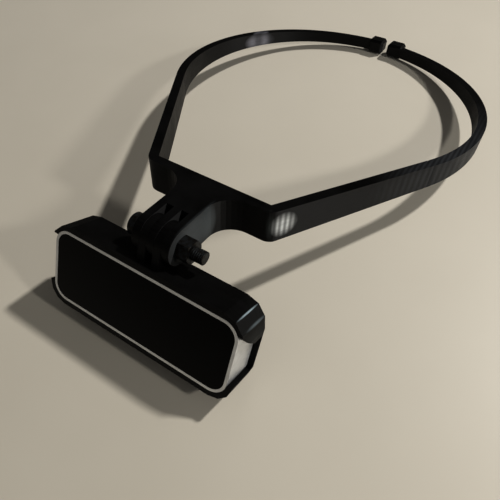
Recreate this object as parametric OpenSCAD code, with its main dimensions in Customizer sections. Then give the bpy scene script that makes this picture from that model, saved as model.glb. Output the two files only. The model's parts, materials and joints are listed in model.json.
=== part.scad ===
// Head-worn optical visor, set down on a bench: an open loop band with two sprung rear arms,
// a three-ear bolt hinge at the front, and a cradle that holds a slim dark-windowed optical bar.
//
// Three frames are used.
//   Band frame: origin at the centre of the loop's round part, Z square to the band, -Y forwards.
//   Bar frame: origin at the centre of the bar's front face, +Y back into the bar, +Z up its face.
//   Model frame: +Z up from the bench, origin on the bench under the middle of the bounding box.

/* [Head band] */
// Radius of the round rear part of the loop, on the wall's centre line
loop_r = 74; // [70:0.5:80]
// Width of the flat front plate between its corners, on the wall's centre line
front_w = 52.5; // [48:0.5:58]
// Distance from the loop's centre to the front plate's centre line
front_y = 101.5; // [96:0.5:106]
// Wall thickness of the band
band_t = 4; // [3.6:0.1:4.6]
// Height of the band at the front plate
front_h = 14.2; // [13:0.1:16]
// Height of the band at its rear ends
rear_h = 4.8; // [4:0.1:7]
// Outside rounding of the two front corners
corner_r = 5; // [1:0.5:6]
// Gap left between the two rear ends
rear_gap = 2.8; // [1:0.1:4]
// How far that gap stands to the right of the middle
gap_x = 3.5; // [0:0.5:4]
// Size of each rear hook block: along the band, through the wall, and high
hook = [9, 8.4, 7]; // [4:0.1:12]

/* [Tilt hinge] */
// Distance from the loop's centre to the hinge bolt
hinge_y = 127.8; // [126:0.2:132]
// Thickness of each of the three ears on the band
ear_t = 3.2; // [3:0.05:3.4]
// Width of each of the two slots between the ears
slot_w = 3.1; // [3:0.05:3.4]
// Side clearance of a cradle finger in its slot
finger_gap = 0.1; // [0.05:0.05:0.2]
// Radius of the concave flare from the ears to the front plate
flare_r = 10; // [8:0.5:11]
// Radius of the bolt's shank
bolt_r = 2.47; // [2.4:0.01:2.5]
// Radius of the holes the bolt turns in
bolt_hole_r = 2.55; // [2.52:0.01:2.57]
// Length of the bolt under its head
bolt_len = 25.4; // [24:0.2:27]

/* [Optical bar] */
// Width of the bar's front face
bar_w = 80; // [78:0.5:84]
// Height of the bar's front face
bar_h = 30; // [29:0.5:32]
// Overall thickness of the bar, rear pad included
bar_d = 14.4; // [14:0.1:16]
// Corner radius of the bar's front face
bar_r = 6.5; // [6:0.1:7.5]
// Width of the metal rim round the front window
rim_w = 1.1; // [0.9:0.1:1.4]
// Lean of the bar's face from the band's own upright, top edge backwards
bar_lean = 19.8; // [10:0.2:30]

/* [Cradle] */
// Wall thickness of the cradle
cradle_t = 2; // [1.8:0.1:2.2]
// Thickness of the cradle's back plate
plate_t = 3; // [2.4:0.1:3.4]
// Radius round the cradle's two upper outside corners, which are three flats each
cradle_r = 9.2; // [8:0.1:10]
// Radius round the cradle's two lower outside corners
foot_r = 7.8; // [6:0.1:9]
// Bevel round the cradle's back plate
back_bevel = 2.8; // [1:0.1:2.8]
// Side and end clearance round the bar
bar_gap = 0.15; // [0.1:0.05:0.2]
// Distance from the middle to the opening at each end of the cradle
opening_x = 32; // [28:1:34]
// Distance from the bar's front face back to the hinge bolt
bolt_back = 9.5; // [9:0.1:10.5]
// Distance from the middle of the bar's face up to the hinge bolt
bolt_up = 25.3; // [25:0.1:27]

/* [Hidden] */
$fn = 96;
eps = 0.01;
cut = 1;                                   // how far cutting bodies run past the faces they cut

plastic = [0.05, 0.05, 0.055];
black_glass = [0.02, 0.02, 0.025];
silver = [0.72, 0.72, 0.72];
steel = [0.3, 0.28, 0.26];
board_green = [0.05, 0.22, 0.12];

// Band: the straight sides are tangent to the round part at the angle side_a.
corner_d = norm([front_w/2, front_y]);
side_a = acos(loop_r/corner_d) - atan2(front_y, front_w/2);
side_n = [cos(side_a), sin(side_a)];       // outward normal of the right-hand side
socket_gap = 0.05;                         // clearance of an arm's round end in its socket
lip_back = 0.9;                            // the socket's lips stop this far short of its centre
hook_in = 0.8;                             // a hook block stands this far out of the wall's inside
hook_cut = 1.2;                            // bevel on a hook block's edges

// Hinge
ear_r = front_h/2;
arm_half = (3*ear_t + 2*slot_w)/2;         // half the width over the three ears
ear_pitch = ear_t + slot_w;
slot_root = ear_r + 1.3;                   // from the bolt back to the end of the slots
nut_af = 8;                                // M5 nut: width across flats and thickness
nut_t = 5;
nut_out = arm_half + nut_t;                // outer face of the nut
head_r = 4.25;                             // M5 socket head
head_t = 5;
head_key = 4;
thread_pitch = 0.8;
thread_len = 12;

// Bar, from front to back, in the bar frame
window_t = 1.5;
gasket_t = 0.35;
window_y = 0.05;                           // the window sits this far behind the rim
ledge_y = window_y + window_t + gasket_t;
ledge_t = 1.2;
ledge_w = 4;                               // from the bar's outside to the ledge's opening
wall_t = 1.6;
cavity_y = ledge_y + ledge_t;
board_y = 8.6;
board_t = 1.2;
pad_t = 0.9;
cover_t = 1.8;
ring_back = bar_d - pad_t + 0.2;           // the pad stands a little out of the ring
cover_y = bar_d - pad_t - cover_t;
fit_gap = 0.1;
lens_x = 17.5;                             // the two lenses stand this far each side of the middle
lamp_x = [-29, 0, 29];
barrel_r = 4.4;
barrel_y = 2.6;
case_post = [34.6, 9.6];                   // case screws and board screws, from the middle
board_post = [28.6, 11.2];
post_r = 1.9;
socket_size = [6.6, 2.9, 7.8];             // cable socket: length, thickness and width
socket_y = board_y - socket_size[1];

// Cradle
cavity_w = bar_w + 2*bar_gap;
cavity_h = bar_h + 2*bar_gap;
outer_w = cavity_w + 2*cradle_t;
outer_h = cavity_h + 2*cradle_t;
plate_y = bar_d + bar_gap;
cradle_back = plate_y + plate_t;
foot_cut = 1.6;                            // depth of the strip under the back plate that stands on the bench
corner_faces = 12;                         // three flats to each outside corner
finger_t = slot_w - 2*finger_gap;

// Rest on the bench: the cradle's lower rear edge and the hooks' lower rear edge both touch it.
function spin(p, a) = [p[0]*cos(a) - p[1]*sin(a), p[0]*sin(a) + p[1]*cos(a)];
function from_bar(p) = spin([p[0] - bolt_back, p[1] - bolt_up], -bar_lean) - [hinge_y, 0];
rest_front = from_bar([cradle_back - foot_cut, -outer_h/2]);
rest_rear = [loop_r - band_t/2 - hook_in + hook[1] - hook_cut, -hook[2]/2];
bench_a = atan2(rest_rear[1] - rest_front[1], rest_rear[0] - rest_front[0]);
bench_z = -spin(rest_front, -bench_a)[1];
front_end = spin(from_bar([0, -outer_h/2]), -bench_a)[0];
rear_end = spin([rest_rear[0] + hook_cut, hook[2]/2 - hook_cut], -bench_a)[0];
middle_y = (front_end + rear_end)/2;

// Places its children from the band frame into the model frame.
module on_bench() translate([0, -middle_y, bench_z]) rotate([-bench_a, 0, 0]) children();

// Places its children from the bar frame into the model frame.
module at_bar() on_bench() translate([0, -hinge_y, 0]) rotate([-bar_lean, 0, 0])
  translate([0, -bolt_back, -bolt_up]) children();

// A corner of the band's plan, off millimetres outside the wall's centre line.
function front_corner(off) =
  [(loop_r + off + side_n[1]*(front_y + off))/side_n[0], -(front_y + off)];
function side_end(off) = (loop_r + off)*side_n;
function flip(points) = [for (i = [len(points) - 1:-1:0]) [-points[i][0], points[i][1]]];
function arc(centre, r, from, to, steps) =
  [for (i = [0:steps]) centre + r*[cos(from + (to - from)*i/steps), sin(from + (to - from)*i/steps)]];

// A rounded rectangle of width w and height h, standing in XZ, from y0 back to y1.
module slab(w, h, r, y0, y1) translate([0, y1, 0]) rotate([90, 0, 0]) linear_extrude(y1 - y0) {
  square([w - 2*r, h], center = true);
  square([w, h - 2*r], center = true);
  for (x = [-1, 1], y = [-1, 1]) translate([x*(w/2 - r), y*(h/2 - r)]) circle(r);
}

// A cylinder along Y in the bar frame, and along X through the hinge.
module post(x, z, r, y0, y1) translate([x, y1, z]) rotate([90, 0, 0]) cylinder(h = y1 - y0, r = r);
module across(r, x0, x1) translate([x0, 0, 0]) rotate([0, 90, 0]) cylinder(h = x1 - x0, r = r);
// A hexagonal prism along X with a flat on top, d across its corners.
module hex_across(d, x0, x1) translate([x0, 0, 0]) rotate([0, 90, 0]) rotate([0, 0, 30])
  cylinder(h = x1 - x0, d = d, $fn = 6);
// Children at the four points [x, z] and its mirror images.
module four(at) for (x = [-1, 1], z = [-1, 1]) translate([x*at[0], 0, z*at[1]]) children();

// The band's side view: tall at the front plate, tapering to the rear ends.
module taper() rotate([90, 0, 90]) linear_extrude(4*loop_r, center = true) polygon([
  [-2*front_y, front_h/2], [-front_y, front_h/2], [loop_r, rear_h/2], [2*loop_r, rear_h/2],
  [2*loop_r, -rear_h/2], [loop_r, -rear_h/2], [-front_y, -front_h/2], [-2*front_y, -front_h/2]]);

// Front plate and the two straight sides, in plan. The corners are rounded outside.
module front_plan() {
  outer = front_corner(band_t/2);
  c = front_corner(band_t/2 - corner_r);
  right = concat([side_end(band_t/2)], arc(c, corner_r, side_a, -90, 5));
  inner = [front_corner(-band_t/2), side_end(-band_t/2)];
  polygon(concat(right, flip(right), flip(inner), inner));
}

// The hinge block in plan: it flares into the front plate with a concave curve on each side.
module block_plan() {
  face = -front_y - band_t/2;
  side = arc([arm_half + flare_r, face - flare_r], flare_r, 90, 180, 8);
  polygon(concat([[arm_half + flare_r, face + band_t/2]], side,
    [[arm_half, slot_root - hinge_y]], [[-arm_half, slot_root - hinge_y]], flip(side),
    [[-arm_half - flare_r, face + band_t/2]]));
}

// One upright plate of the hinge, from y0 forwards to a round end on the bolt.
module ear(x) translate([x - ear_t/2, 0, 0]) {
  translate([0, 0, -ear_r]) cube([ear_t, slot_root + cut, front_h]);
  rotate([0, 90, 0]) cylinder(h = ear_t, r = ear_r);
}

// What is cut from the end of the right-hand side so that an arm's round end sits in it.
module socket() translate([side_end(0)[0], side_end(0)[1], -front_h]) {
  cylinder(h = 2*front_h, r = band_t/2);
  rotate([0, 0, side_a]) translate([-band_t, -lip_back, 0]) cube([2*band_t, 2*band_t, 2*front_h]);
}

// Front plate, straight sides and the three-eared hinge block, one print.
module front_frame() color(plastic) on_bench() difference() {
  union() {
    intersection() {
      translate([0, 0, -front_h/2]) linear_extrude(front_h) front_plan();
      taper();
    }
    translate([0, 0, -front_h/2]) linear_extrude(front_h) block_plan();
    translate([0, -hinge_y, 0]) {
      for (i = [-1:1]) ear(i*ear_pitch);
    }
  }
  translate([0, -hinge_y, 0]) across(bolt_hole_r, -arm_half - cut, arm_half + cut);
  socket();
  mirror([1, 0, 0]) socket();
}

// A box of this size with every edge bevelled by c.
module bevelled(size, c) hull() for (i = [0:2]) {
  inset = [for (k = [0:2]) k == i ? 0 : c];
  translate(inset) cube(size - 2*inset);
}

// One curved rear arm, which ends at x0: a round end in the front frame's socket, the arc, the hook block.
module rear_arm(x0) {
  intersection() {
    union() {
      translate([0, 0, -front_h/2]) rotate([0, 0, side_a]) rotate_extrude(angle = 90 - side_a + 4)
        translate([loop_r - band_t/2, 0]) square([band_t, front_h]);
      translate([side_end(0)[0], side_end(0)[1], -front_h/2]) cylinder(h = front_h, r = band_t/2 - socket_gap);
    }
    taper();
    translate([x0 + hook_cut, -2*loop_r, -front_h]) cube([2*loop_r, 4*loop_r, 2*front_h]);
  }
  translate([x0, loop_r - band_t/2 - hook_in, -hook[2]/2]) bevelled(hook, hook_cut);
}
module rear_arm_right() color(plastic) on_bench() rear_arm(gap_x + rear_gap/2);
module rear_arm_left() color(plastic) on_bench() mirror([1, 0, 0]) rear_arm(rear_gap/2 - gap_x);

// M5 nut against the outer ear
module tilt_nut() color(steel) on_bench() translate([0, -hinge_y, 0]) difference() {
  intersection() {
    hex_across(nut_af/cos(30), nut_out - nut_t, nut_out);
    translate([nut_out - nut_t, 0, 0]) rotate([0, 90, 0])
      rotate_extrude() polygon([[0, 0], [nut_af/2 + 0.1, 0], [nut_af/2 + 0.8, 0.5],
        [nut_af/2 + 0.8, nut_t - 0.5], [nut_af/2 + 0.1, nut_t], [0, nut_t]]);
  }
  across(bolt_r + 0.03, nut_out - nut_t - cut, nut_out + cut);
}

// M5 socket-head bolt with its thread cut as rings at the end that shows past the nut
module tilt_bolt() color(steel) on_bench() translate([-arm_half, -hinge_y, 0]) rotate([0, 90, 0]) {
  root = bolt_r - 0.4;
  turns = floor(thread_len/thread_pitch);
  start = bolt_len - turns*thread_pitch;
  difference() {
    rotate_extrude() polygon(concat(
      [[0, -head_t], [head_r - 0.4, -head_t], [head_r, -head_t + 0.4], [head_r, -0.02], [bolt_r, -0.02]],
      [for (i = [0:turns - 1]) each [[bolt_r, start + (i + 0.15)*thread_pitch],
        [root, start + (i + 0.5)*thread_pitch], [bolt_r, start + (i + 0.85)*thread_pitch]]],
      [[bolt_r, bolt_len - 0.3], [root, bolt_len], [0, bolt_len]]));
    translate([0, 0, -head_t - cut]) cylinder(h = 2.6 + cut, d = head_key/cos(30), $fn = 6);
  }
}

// Outline of the opening at each end of the cradle, where the bar's end is bare
module side_opening() rotate([90, 0, 90]) linear_extrude(outer_w) polygon([
  [-cut, -0.3*bar_h], [-cut, 0.42*bar_h], [0.06*bar_d, 0.37*bar_h], [0.2*bar_d, 0.3*bar_h],
  [0.62*bar_d, 0.17*bar_h], [plate_y, 0.17*bar_h], [plate_y, -0.36*bar_h], [0, -0.3*bar_h]]);

// One finger of the cradle: a foot on the top wall and a round end on the bolt.
module finger(x) translate([x - finger_t/2, bolt_back, 0]) {
  translate([0, -ear_r, outer_h/2 - eps]) cube([finger_t, 2*ear_r, bolt_up - outer_h/2 + eps]);
  translate([0, 0, bolt_up]) rotate([0, 90, 0]) cylinder(h = finger_t, r = ear_r);
}

// The cradle's outside: flats round the corners and a bevel round the back
module cradle_outside() hull() {
  for (s = [-1, 1], b = [0, back_bevel]) {
    post(s*(outer_w/2 - cradle_r), outer_h/2 - cradle_r, cradle_r - b, 0, cradle_back - back_bevel + b);
    post(s*(outer_w/2 - foot_r), foot_r - outer_h/2, foot_r - b, 0, cradle_back - back_bevel + b);
  }
  translate([foot_r - outer_w/2, 0, -outer_h/2]) cube([outer_w - 2*foot_r, cradle_back, cut]);
}

// Back plate, a wall all round the bar with an opening at each end, and the two hinge fingers
module cradle() color(plastic) at_bar() difference() {
  union() {
    difference() {
      cradle_outside($fn = corner_faces);
      slab(cavity_w, cavity_h, bar_r + bar_gap, -cut, plate_y);
      translate([opening_x, 0, 0]) side_opening();
      translate([-opening_x - outer_w, 0, 0]) side_opening();
      translate([-outer_w, cradle_back - foot_cut, -outer_h/2]) rotate([bar_lean + bench_a, 0, 0])
        translate([0, 0, -outer_h]) cube([2*outer_w, 4*foot_cut, outer_h]);
    }
    for (s = [-1, 1]) finger(s*ear_pitch/2);
  }
  translate([0, bolt_back, bolt_up]) across(bolt_hole_r, -arm_half, arm_half);
}

// Metal ring: side wall, front rim, the ledge the window sits on, and the posts for the screws
module bezel_ring() color(silver) at_bar() difference() {
  union() {
    difference() {
      slab(bar_w, bar_h, bar_r, 0, ring_back);
      slab(bar_w - 2*rim_w, bar_h - 2*rim_w, bar_r - rim_w, -cut, ledge_y);
      slab(bar_w - 2*ledge_w, bar_h - 2*ledge_w, 3, 0, cavity_y + eps);
      slab(bar_w - 2*wall_t, bar_h - 2*wall_t, bar_r - wall_t, cavity_y, ring_back + cut);
    }
    four(case_post) post(0, 0, post_r, cavity_y - eps, cover_y);
    four(board_post) post(0, 0, post_r, cavity_y - eps, board_y);
  }
  four(case_post) post(0, 0, 0.85, cavity_y + 2, cover_y + cut);
  four(board_post) post(0, 0, 0.85, cavity_y + 2, board_y + cut);
  translate([-bar_w/2 - cut, socket_y - fit_gap, -socket_size[2]/2 - fit_gap])
    cube([wall_t + 2*cut, socket_size[1] + 2*fit_gap, socket_size[2] + 2*fit_gap]);
}

// Dark front window
module front_window() color(black_glass) at_bar()
  slab(bar_w - 2*rim_w - 2*fit_gap, bar_h - 2*rim_w - 2*fit_gap, bar_r - rim_w - fit_gap,
    window_y, window_y + window_t);

// Adhesive seal between the window and the ring's ledge
module window_gasket() color(plastic) at_bar() difference() {
  slab(bar_w - 2*rim_w - 0.4, bar_h - 2*rim_w - 0.4, bar_r - rim_w - 0.2,
    window_y + window_t, ledge_y);
  slab(bar_w - 2*ledge_w - 0.4, bar_h - 2*ledge_w - 0.4, 3, 0, ledge_y + cut);
}

// Mask behind the window, with a light well round each lamp
module light_baffle() color(plastic) at_bar() difference() {
  union() {
    slab(bar_w - 2*ledge_w - 2*fit_gap, bar_h - 2*ledge_w - 2*fit_gap, 2.9, ledge_y + fit_gap, cavity_y - fit_gap);
    for (x = lamp_x) post(x, 0, 3.6, cavity_y - fit_gap - eps, board_y - 0.2);
  }
  for (x = lamp_x) post(x, 0, 2.8, 0, board_y + cut);
  for (s = [-1, 1]) post(s*lens_x, 0, barrel_r + 0.2, 0, board_y);
}

// Metal strap that holds the two lens barrels in line
module lens_carrier() color(silver) at_bar() difference() {
  slab(2*lens_x + 13, 13, 2, 5.4, 6.6);
  for (s = [-1, 1]) post(s*lens_x, 0, barrel_r + 0.05, 0, board_y);
  post(0, 0, 4, 0, board_y);
}

// One lens barrel, standing on the board
module lens_barrel(x) color(plastic) at_bar() difference() {
  post(x, 0, barrel_r, barrel_y, board_y);
  post(x, 0, 3.25, barrel_y - cut, board_y - 1.6);
  post(x, 0, 2.2, barrel_y, board_y + cut);
}
module lens_barrel_left() lens_barrel(-lens_x);
module lens_barrel_right() lens_barrel(lens_x);

// One double-convex lens, seated in its barrel
module lens(x) color("lightblue") at_bar() intersection() {
  post(x, 0, 3.2, barrel_y + 0.3, board_y - 1.7);
  translate([x, barrel_y + 0.4 + 7, 0]) sphere(7);
  translate([x, board_y - 2.6 - 7, 0]) sphere(7);
}
module lens_left() lens(-lens_x);
module lens_right() lens(lens_x);

// Three lamps on the board, each a square body with a domed top
module lamps() color("khaki") at_bar() for (x = lamp_x) {
  translate([x - 1.75, board_y - 1.2, -1.75]) cube([3.5, 1.2, 3.5]);
  intersection() {
    post(x, 0, 1.5, board_y - 3, board_y - 1);
    translate([x, board_y - 1.2, 0]) sphere(1.5);
  }
}

// Circuit board, with a tongue under the cable socket
module circuit_board() color(board_green) at_bar() difference() {
  union() {
    slab(62.8, bar_h - 2*wall_t - 0.8, 1.5, board_y, board_y + board_t);
    translate([-38, board_y, -6]) cube([10, board_t, 12]);
  }
  four(board_post) post(0, 0, 0.95, board_y - cut, board_y + board_t + cut);
}

// Chips soldered on the board's back
module board_chips() color(plastic) at_bar() translate([0, board_y + board_t, 0]) {
  translate([-5, 0, -5]) cube([10, 1, 10]);
  translate([-21, 0, -3.5]) cube([9, 0.9, 7]);
  translate([12, 0, -6]) cube([6, 0.9, 6]);
  translate([21, 0, 0]) cube([4, 0.8, 4]);
}

// Metal shell of the cable socket, with its contact tongue
module cable_socket() color(silver) at_bar() translate([-bar_w/2 + 0.3, socket_y, 0]) {
  difference() {
    translate([0, 0, -socket_size[2]/2]) cube(socket_size);
    translate([-cut, 0.35, -socket_size[2]/2 + 0.35])
      cube([socket_size[0] - 0.8 + cut, socket_size[1] - 0.7, socket_size[2] - 0.7]);
  }
  translate([1.2, 1.1, -2.6]) cube([socket_size[0] - 1.6, 0.7, 5.2]);
}

// A small cross-head screw whose head sits on y, pointing forwards
module small_screw(y, len) difference() {
  union() {
    post(0, 0, 0.82, y - len, y + eps);
    post(0, 0, 1.5, y, y + 0.7);
  }
  for (a = [0, 90]) rotate([0, a, 0]) translate([-0.9, y + 0.3, -0.18]) cube([1.8, 1, 0.36]);
}
module board_screws() color(steel) at_bar() four(board_post) small_screw(board_y + board_t, 3.2);
module case_screws() color(steel) at_bar() four(case_post) small_screw(cover_y + cover_t - 0.8, 5);

// Rear cover inside the ring, with a counterbore for each case screw
module rear_cover() color(plastic) at_bar() difference() {
  slab(bar_w - 2*wall_t - 2*fit_gap, bar_h - 2*wall_t - 2*fit_gap, bar_r - wall_t - fit_gap,
    cover_y, cover_y + cover_t);
  four(case_post) {
    post(0, 0, 0.95, cover_y - cut, cover_y + cover_t + cut);
    post(0, 0, 1.6, cover_y + cover_t - 0.8, cover_y + cover_t + cut);
  }
}

// Rubber pad that covers the screws and grips the cradle's back plate
module rear_pad() color(plastic) at_bar()
  slab(bar_w - 2*wall_t - 1, bar_h - 2*wall_t - 1, bar_r - wall_t - 0.5, cover_y + cover_t, bar_d);

front_frame();
rear_arm_left();
rear_arm_right();
tilt_nut();
tilt_bolt();
cradle();
bezel_ring();
front_window();
window_gasket();
light_baffle();
lens_carrier();
lens_barrel_left();
lens_barrel_right();
lens_left();
lens_right();
lamps();
circuit_board();
board_chips();
cable_socket();
board_screws();
rear_cover();
case_screws();
rear_pad();
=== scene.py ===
"""Looks of the head visor: materials, softened edges, floor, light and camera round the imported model.

Units are metres, in the model's own frame: +Z up from the bench, -Y the front, +X the nut side.
"""
import json
import math

import bpy
from mathutils import Matrix, Quaternion, Vector

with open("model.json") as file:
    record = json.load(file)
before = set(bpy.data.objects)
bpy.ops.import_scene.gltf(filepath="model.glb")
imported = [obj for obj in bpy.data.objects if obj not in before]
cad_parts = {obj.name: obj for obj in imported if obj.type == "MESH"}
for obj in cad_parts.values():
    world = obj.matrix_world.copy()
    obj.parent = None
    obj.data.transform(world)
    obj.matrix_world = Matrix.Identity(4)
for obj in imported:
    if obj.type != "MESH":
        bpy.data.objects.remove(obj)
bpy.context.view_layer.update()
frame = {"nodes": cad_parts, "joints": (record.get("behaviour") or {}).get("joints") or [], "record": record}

MM = 0.001
LAYER = 0.28                    # height of one printed layer, in millimetres
SAME_FACE = math.radians(0.6)   # faces that meet at less than this are merged before rounding
SMOOTH = math.radians(28)       # edges up to this angle are shaded smooth
SHARP = math.radians(32)        # edges from this angle on are rounded

joints = {joint["name"]: joint for joint in frame["joints"]}
nodes = frame["nodes"]

# The band slopes on the bench and the bar leans back. Their tilts are turns about X, in radians.
band_up = Vector(joints["left_arm_flex"]["axis"]).normalized()
bar_forward = Vector(joints["bar_release"]["axis"]).normalized()
band_tilt = math.atan2(band_up.y, band_up.z)
bar_tilt = math.atan2(bar_forward.z, -bar_forward.y)
hinge = Vector(joints["cradle_tilt"]["pos_m"])


# ---------------------------------------------------------------- shader nodes

class Nodes:
    """A node tree. add() makes one node, fills its inputs and returns one of its outputs."""

    def __init__(self, tree):
        self.tree = tree

    def put(self, socket, value):
        """Links another node's output to an input, or else gives the input a fixed value."""
        if isinstance(value, bpy.types.NodeSocket):
            self.tree.links.new(value, socket)
        else:
            socket.default_value = value

    def add(self, kind, inputs, output=0, **settings):
        node = self.tree.nodes.new("ShaderNode" + kind)
        for name, value in settings.items():
            setattr(node, name, value)
        for name, value in inputs.items():
            self.put(node.inputs[name], value)
        return node.outputs[output]

    def blend(self, share, first, second):
        """A colour that goes from first to second as share goes from 0 to 1."""
        first_colour, second_colour, mixed_colour = 6, 7, 2     # the Mix node's sockets for colours
        return self.add("Mix", {0: share, first_colour: first, second_colour: second},
                        output=mixed_colour, data_type="RGBA")

    def camera_ray(self):
        """1 where the camera itself looks, 0 for reflections and light."""
        return self.add("LightPath", {}, output="Is Camera Ray")


class Shader(Nodes):
    """A node material. Its patterns are laid out in millimetres of the piece's own frame."""

    def __init__(self, name):
        self.material = bpy.data.materials.new(name)
        self.material.use_nodes = True
        super().__init__(self.material.node_tree)
        self.surface = self.tree.nodes["Principled BSDF"]

    def look(self, **inputs):
        """Fills inputs of the surface. An underscore stands for the space in an input's name."""
        for name, value in inputs.items():
            self.put(self.surface.inputs[name.replace("_", " ")], value)

    def place(self, tilt=0.0, stretch=(1, 1, 1)):
        """Coordinates of the piece itself in millimetres, turned by tilt about X, then stretched."""
        here = self.add("TexCoord", {}, output="Object")
        level = self.add("Mapping", {"Vector": here, "Rotation": (tilt, 0, 0), "Scale": (1 / MM,) * 3})
        return self.add("VectorMath", {0: level, 1: stretch}, operation="MULTIPLY")

    def axis(self, vector, letter):
        return self.add("SeparateXYZ", {"Vector": vector}, output=letter)

    def length(self, vector):
        return self.add("VectorMath", {0: vector}, output="Value", operation="LENGTH")

    def maths(self, operation, first, second=0.0):
        return self.add("Math", {0: first, 1: second}, operation=operation)

    def times(self, first, second):
        return self.maths("MULTIPLY", first, second)

    def wave(self, coordinate, gap):
        """A sine wave between -1 and 1 with its crests gap millimetres apart."""
        return self.maths("SINE", self.times(coordinate, 2 * math.pi / gap))

    def noise(self, where, scale, detail=3.0, rough=0.5):
        """Cloudy noise about 0.5. A higher scale makes it finer."""
        return self.add("TexNoise", {"Vector": where, "Scale": scale, "Detail": detail, "Roughness": rough})

    def span(self, value, low, high, start=0.0, end=1.0):
        """Goes from low to high as value goes from start to end, and stays level outside them."""
        return self.add("MapRange", {"Value": value, "From Min": start, "From Max": end,
                                     "To Min": low, "To Max": high})

    def near(self, where, centre, reach):
        """1 round the centre, falling to 0 at reach millimetres from it along each axis."""
        core = 0.35
        away = self.add("VectorMath", {0: where, 1: centre}, operation="SUBTRACT")
        share = self.add("VectorMath", {0: away, 1: reach}, operation="DIVIDE")
        return self.span(self.length(share), 1, 0, core, 1)

    def bump(self, height, depth, strength, under=None):
        """Relief up to depth millimetres deep, on top of the relief under it."""
        inputs = {"Height": height, "Distance": depth * MM, "Strength": strength}
        if under is not None:
            inputs["Normal"] = under
        return self.add("Bump", inputs)


# ---------------------------------------------------------------- materials

def grey(value, warm=0.0):
    """A grey, tipped towards red where warm is above 0 and towards blue where it is below."""
    return (value * (1 + warm), value, value * (1 - warm), 1)


def printed_plastic(name, tilt, stack, patch_scale, painted_highlights):
    """Black printed plastic, its layers stacked along the Y or Z axis of the frame turned by tilt.

    Layer lines spread the shine along the stack. Faces that look up are raster lines and stay dull.
    Painted highlights are brighter colour laid on where light would catch the plastic. They show at a slant
    and fade where they are seen straight on.
    """
    skin = Shader(name)
    where = skin.place(tilt)
    slow, quick = 0.05, 3.2     # how fast the rows change along a layer and from layer to layer
    if stack == "Z":
        stretch, across = (slow, slow, quick), (0, math.sin(tilt), math.cos(tilt))
    else:
        stretch, across = (slow, quick, slow), (0, math.cos(tilt), -math.sin(tilt))
    rows = skin.noise(skin.place(tilt, stretch), 1.0, 4.0, 0.7)
    patches = skin.noise(where, patch_scale, 2.0)
    grain = skin.noise(where, 5.0, 2.0, 0.6)

    tone = skin.blend(skin.span(rows, 0, 1, 0.35, 0.65), grey(0.0018, 0.02), grey(0.0045, 0.03))
    tone = skin.blend(skin.span(patches, 0, 0.5, 0.45, 0.7), tone, grey(0.006))
    slant = skin.span(skin.add("LayerWeight", {"Blend": 0.5}, output="Facing"), 0.22, 1.0, 0.1, 0.45)
    # painted highlights: each lays its lit tone over the plastic's colour, rippled where it has a gap
    for centre, reach, highlight_tone, gap in painted_highlights:
        mask = skin.times(skin.near(where, centre, reach), slant)
        if gap:
            ripple = skin.wave(skin.axis(where, "X"), gap)
            mask = skin.times(mask, skin.span(ripple, 0.4, 1.0, -0.8, 0.9))
        tone = skin.blend(skin.times(mask, skin.span(rows, 0.7, 1.0, 0.3, 0.6)), tone, highlight_tone)

    lines = skin.bump(skin.wave(skin.axis(where, stack), LAYER), 0.018, 0.55)
    ridges = skin.bump(rows, 0.06, 0.6, lines)
    facing_up = skin.axis(skin.add("TexCoord", {}, output="Normal"), "Z")
    tangent = skin.add("VectorTransform", {"Vector": across}, vector_type="VECTOR",
                       convert_from="OBJECT", convert_to="WORLD")
    rough = skin.maths("ADD", skin.span(rows, 0.42, 0.52, 0.3, 0.7),
                       skin.span(patches, -0.04, 0.06, 0.3, 0.7))
    skin.look(Base_Color=tone, Roughness=rough, Normal=skin.bump(grain, 0.02, 0.35, ridges),
              Specular_IOR_Level=skin.span(facing_up, 0.22, 0.02, 0.3, 0.8),
              Anisotropic=0.95, Tangent=tangent)
    return skin.material


def silver_metal():
    """Bead-blasted light metal with a faint cool cast and fine grain."""
    skin = Shader("silver_metal")
    where = skin.place(bar_tilt)
    grain = skin.noise(where, 9.0, 2.0)
    cloud = skin.noise(where, 0.25)
    tone = skin.blend(skin.span(cloud, 0, 1, 0.3, 0.7), grey(0.66, -0.015), grey(0.78, -0.015))
    skin.look(Base_Color=tone, Metallic=0.75, Roughness=skin.span(grain, 0.30, 0.46, 0.3, 0.7),
              Normal=skin.bump(grain, 0.01, 0.5))
    return skin.material


def black_window():
    """Polished black window with faint smears and dust."""
    skin = Shader("black_window")
    smear = skin.noise(skin.place(bar_tilt, (0.12, 1.0, 0.5)), 0.5, 4.0, 0.6)
    speck = skin.span(skin.noise(skin.place(bar_tilt), 3.4, 1.0), 0, 1, 0.74, 0.80)
    rough = skin.maths("ADD", skin.span(smear, 0.10, 0.24, 0.35, 0.7), skin.times(speck, 0.3))
    skin.look(Base_Color=skin.blend(speck, grey(0.0010, -0.2), grey(0.03)), Roughness=rough,
              Specular_IOR_Level=0.05)
    return skin.material


def dark_steel():
    """Turned steel with a fine grain round the bolt's axis and darker stains."""
    skin = Shader("dark_steel")
    rings = skin.noise(skin.place(0, (6.0, 0.4, 0.4)), 1.4)
    stain = skin.noise(skin.place(), 0.7)
    tone = skin.blend(skin.span(stain, 0, 1, 0.4, 0.65), grey(0.040, -0.06), grey(0.016, 0.2))
    skin.look(Base_Color=tone, Metallic=1.0, Roughness=skin.span(rings, 0.40, 0.56, 0.3, 0.7),
              Normal=skin.bump(rings, 0.01, 0.5))
    return skin.material


def moulded(name, tone, roughness, depth, metallic=0.0, scale=2.6):
    """A moulded or soldered surface: one colour that drifts a little, over a grain of that depth."""
    skin = Shader(name)
    where = skin.place(bar_tilt)
    grain = skin.noise(where, scale)
    drift = skin.noise(where, 0.3, 2.0)
    darker = tuple(channel * 0.6 for channel in tone[:3]) + (1,)
    skin.look(Base_Color=skin.blend(skin.span(drift, 0, 1, 0.35, 0.65), tone, darker), Metallic=metallic,
              Roughness=skin.span(grain, roughness - 0.06, roughness + 0.08, 0.3, 0.7),
              Normal=skin.bump(grain, depth, 0.6))
    return skin.material


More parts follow.
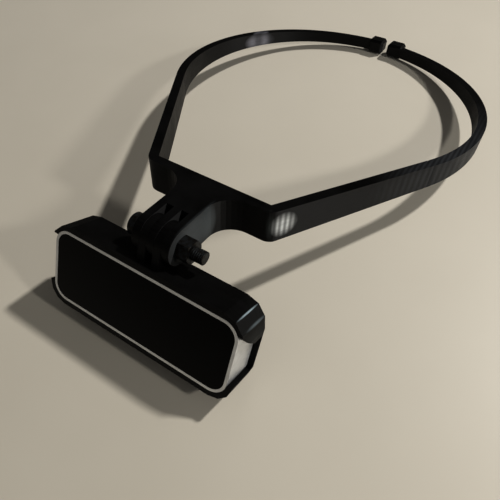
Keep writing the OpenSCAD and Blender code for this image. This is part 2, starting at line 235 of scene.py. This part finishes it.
def lens_glass():
    """Clear coated glass with a tint that drifts from blue to violet."""
    skin = Shader("lens_glass")
    drift = skin.noise(skin.place(), 0.4, 2.0)
    skin.look(Base_Color=skin.blend(drift, (0.78, 0.90, 0.95, 1), (0.90, 0.82, 0.95, 1)), Roughness=0.03,
              Transmission_Weight=0.9, IOR=1.5, Coat_Weight=0.4)
    return skin.material


def board():
    """Green solder mask over faint copper tracks."""
    skin = Shader("board")
    where = skin.place(bar_tilt)
    tracks = skin.add("TexBrick", {"Vector": where, "Scale": 0.9, "Mortar Size": 0.03,
                                   "Color1": (0.02, 0.13, 0.06, 1), "Color2": (0.03, 0.16, 0.08, 1),
                                   "Mortar": (0.06, 0.26, 0.12, 1)})
    skin.look(Base_Color=tracks, Roughness=skin.span(skin.noise(where, 1.2), 0.25, 0.4), Coat_Weight=0.3)
    return skin.material


# ---------------------------------------------------------------- painted highlights

def turned(point, tilt):
    """A point of the model, in millimetres, as place(tilt) gives it."""
    return tuple(Matrix.Rotation(tilt, 3, "X") @ (point / MM))


def on_band(x, back, up):
    """A point of the band, in millimetres to the right, back and up from the hinge bolt."""
    band_back = band_up.cross(Vector((1, 0, 0)))
    return turned(hinge + MM * (Vector((x, 0, 0)) + back * band_back + up * band_up), band_tilt)


def on_bar(x, back, up):
    """A point of the cradle, in millimetres to the right, back and up from the hinge bolt."""
    bar_up = Vector((1, 0, 0)).cross(-bar_forward)
    return turned(hinge + MM * (Vector((x, 0, 0)) - back * bar_forward + up * bar_up), bar_tilt)


# Painted highlights. Each has a centre, its reach along the three axes, a lit tone, and how far apart its
# ripples stand along X, with 0 for none. Lengths are in millimetres.
band_painted_highlights = [
    # painted highlight on the right front corner, and the narrow upright streak of painted highlight beside
    # it
    (on_band(29.8, 29.8, 0.1), (4.1, 8.0, 5.8), (0.97, 1.0, 1.0, 1), 1.1),
    (on_band(26.6, 25.6, 0.0), (1.6, 1.6, 7.6), (0.07, 0.08, 0.08, 1), 0),
    # a long dim painted sheen on the right side
    (on_band(68.0, 100.0, 0.0), (26.0, 60.0, 14.0), (0.038, 0.040, 0.044, 1), 1.7),
    # painted light on the outer ear: a strip near its root, then the whole face
    (on_band(8.7, 14.0, 0.5), (1.7, 4.6, 9.5), (0.095, 0.11, 0.115, 1), 0),
    (on_band(7.9, 7.0, 1.0), (1.2, 15.0, 12.0), (0.050, 0.057, 0.060, 1), 0),
    # painted highlight streaks on the left rear arm
    (on_band(-62.2, 164.0, -0.8), (7.5, 13.0, 5.0), (0.66, 0.66, 0.76, 1), 5.12),
]
cradle_painted_highlights = [
    # painted highlights on the right upper corner, a bright line and a wider, dimmer one below it; painted
    # light on the right side
    (on_bar(37.5, -1.9, -9.3), (0.45, 7.5, 0.45), (0.34, 0.42, 0.46, 1), 0),
    (on_bar(40.9, -0.6, -12.3), (0.7, 7.5, 1.0), (0.10, 0.12, 0.13, 1), 0),
    (on_bar(42.2, 0.0, -20.0), (1.0, 16.0, 22.0), (0.009, 0.010, 0.010, 1), 0),
]


# ---------------------------------------------------------------- which piece wears which material

looks = {
    "printed_plastic": printed_plastic("printed_band", band_tilt, "Z", 0.11, band_painted_highlights),
    "dark_steel": dark_steel(),
    "silver_metal": silver_metal(),
    "black_window": black_window(),
    "black_foam": moulded("black_foam", grey(0.02), 0.9, 0.06, scale=5.0),
    "moulded_plastic": moulded("moulded_plastic", grey(0.022), 0.5, 0.02),
    "lens_glass": lens_glass(),
    "lamp_resin": moulded("lamp_resin", (0.8, 0.74, 0.4, 1), 0.2, 0.005),
    "board": board(),
    "chip_resin": moulded("chip_resin", grey(0.03), 0.6, 0.02, scale=6.0),
    "plated_steel": moulded("plated_steel", grey(0.6, 0.01), 0.3, 0.005, metallic=1.0),
    "pad_rubber": moulded("pad_rubber", grey(0.016), 0.75, 0.03, scale=4.0),
}
cradle_look = printed_plastic("printed_cradle", bar_tilt, "Y", 0.12, cradle_painted_highlights)

for part in frame["record"]["subparts"]:
    mesh = nodes[part["node"]].data
    mesh.materials.clear()
    mesh.materials.append(cradle_look if part["node"] == "cradle" else looks[part["material_slot"]])


# ---------------------------------------------------------------- edges

def soften(piece, width):
    """Rounds the sharp edges of a CAD node with modifiers; its own mesh stays as it is."""
    flat = piece.modifiers.new("merge flat faces", "DECIMATE")
    flat.decimate_type = "DISSOLVE"
    flat.angle_limit = SAME_FACE
    rim = piece.modifiers.new("round edges", "BEVEL")
    rim.width = width
    rim.segments = 2
    rim.limit_method = "ANGLE"
    rim.angle_limit = SHARP
    rim.miter_outer = "MITER_ARC"


for mesh in {piece.data for piece in nodes.values()}:
    mesh.shade_smooth()
    mesh.set_sharp_from_angle(angle=SMOOTH)

edge_widths = {"front_frame": 0.35, "rear_arm_left": 0.35, "rear_arm_right": 0.35, "cradle": 0.3,
               "bezel_ring": 0.15, "front_window": 0.12, "tilt_nut": 0.15, "tilt_bolt": 0.1}
for name, width in edge_widths.items():
    soften(nodes[name], width * MM)


# ---------------------------------------------------------------- floor, light and camera

def new_object(name, data):
    """An object with that data, linked into the scene."""
    thing = bpy.data.objects.new(name, data)
    bpy.context.scene.collection.objects.link(thing)
    return thing


def direction(azimuth, elevation):
    """The way to a place that stands azimuth degrees right of the front and elevation degrees up."""
    turn, rise = math.radians(azimuth), math.radians(elevation)
    return Vector((math.sin(turn) * math.cos(rise), -math.cos(turn) * math.cos(rise), math.sin(rise)))


def studio(fill, backdrop):
    """Weak even light from all round. The camera itself sees the backdrop's tone."""
    world = bpy.data.worlds.new("studio")
    world.use_nodes = True
    sky = Nodes(world.node_tree)
    sky.put(sky.tree.nodes["Background"].inputs["Color"], sky.blend(sky.camera_ray(), fill, backdrop))
    bpy.context.scene.world = world


def floor(backdrop):
    """A pale warm table top, brightened towards the back by painted light falloff. Far off, the camera sees
    it fade into the backdrop.
    """
    half = 4.0
    front_edge, rear_edge = -220, 170   # the painted light falloff brightens the tone between these, in millimetres along Y
    fade_start, fade_end = 320, 1000    # how far from the middle it fades, in millimetres
    mesh = bpy.data.meshes.new("floor")
    mesh.from_pydata([(-half, -half, 0), (half, -half, 0), (half, half, 0), (-half, half, 0)], [],
                     [(0, 1, 2, 3)])
    piece = new_object("floor", mesh)

    skin = Shader("floor")
    where = skin.place()
    cloud = skin.noise(where, 0.02)
    grain = skin.noise(where, 2.2, 2.0)
    # random cloudy tone, plus painted light: a brightening towards the back in place of the lamps' falloff
    cloud_and_painted_falloff = skin.maths("ADD", skin.span(cloud, 0, 0.25),
                         skin.span(skin.axis(where, "Y"), 0, 0.75, front_edge, rear_edge))
    skin.look(Base_Color=skin.blend(cloud_and_painted_falloff, (0.515, 0.477, 0.40, 1), (0.695, 0.65, 0.56, 1)),
              Roughness=skin.span(grain, 0.42, 0.5), Normal=skin.bump(grain, 0.02, 0.4),
              Specular_IOR_Level=0.35)

    faded = skin.times(skin.span(skin.length(where), 0, 1, fade_start, fade_end), skin.camera_ray())
    glow = skin.add("Emission", {"Color": backdrop})
    mixed = skin.add("MixShader", {0: faded, 1: skin.surface.outputs["BSDF"], 2: glow})
    skin.put(skin.tree.nodes["Material Output"].inputs["Surface"], mixed)
    mesh.materials.append(skin.material)


def light(name, azimuth, elevation, distance, size, power, colour):
    """A round lamp that looks at the frame's origin from that direction."""
    data = bpy.data.lights.new(name, "AREA")
    data.shape = "DISK"
    data.size = size
    data.energy = power
    data.color = colour
    lamp = new_object(name, data)
    back = direction(azimuth, elevation)
    lamp.location = back * distance
    lamp.rotation_euler = back.to_track_quat("Z", "Y").to_euler()


def camera(azimuth, elevation, roll, aim, distance, lens):
    """The view: the camera stands back from aim along azimuth and elevation, then rolls."""
    data = bpy.data.cameras.new("camera")
    data.lens = lens
    data.sensor_width = 36
    data.clip_start = 0.01
    view = new_object("camera", data)
    back = direction(azimuth, elevation)
    turn = back.to_track_quat("Z", "Y") @ Quaternion((0, 0, 1), math.radians(-roll))
    view.matrix_world = Matrix.Translation(aim + back * distance) @ turn.to_matrix().to_4x4()
    bpy.context.scene.camera = view


# A little more contrast than a plain rendering has, as in the photo.
display = bpy.context.scene.view_settings
display.view_transform = "Standard"
display.exposure = 0.15
display.gamma = 0.87

# The key and the second lamp cast the photo's two sets of shadows. The panel adds a weak cool sheen.
pale = (0.475, 0.44, 0.375, 1)
studio(fill=(0.104, 0.101, 0.097, 1), backdrop=pale)
floor(backdrop=pale)
light("key", azimuth=144.3, elevation=47, distance=3.0, size=0.18, power=66, colour=(1.0, 0.98, 0.95))
light("second", azimuth=86.4, elevation=34.3, distance=0.6, size=0.055, power=0.98,
      colour=(1.0, 0.98, 0.94))
light("panel", azimuth=62, elevation=24, distance=1.5, size=0.5, power=0.7, colour=(0.88, 0.95, 1.0))
camera(azimuth=36.35, elevation=54.38, roll=4.91, aim=Vector((11.1, -54.1, 0)) * MM,
       distance=199.6 * MM, lens=33.05)
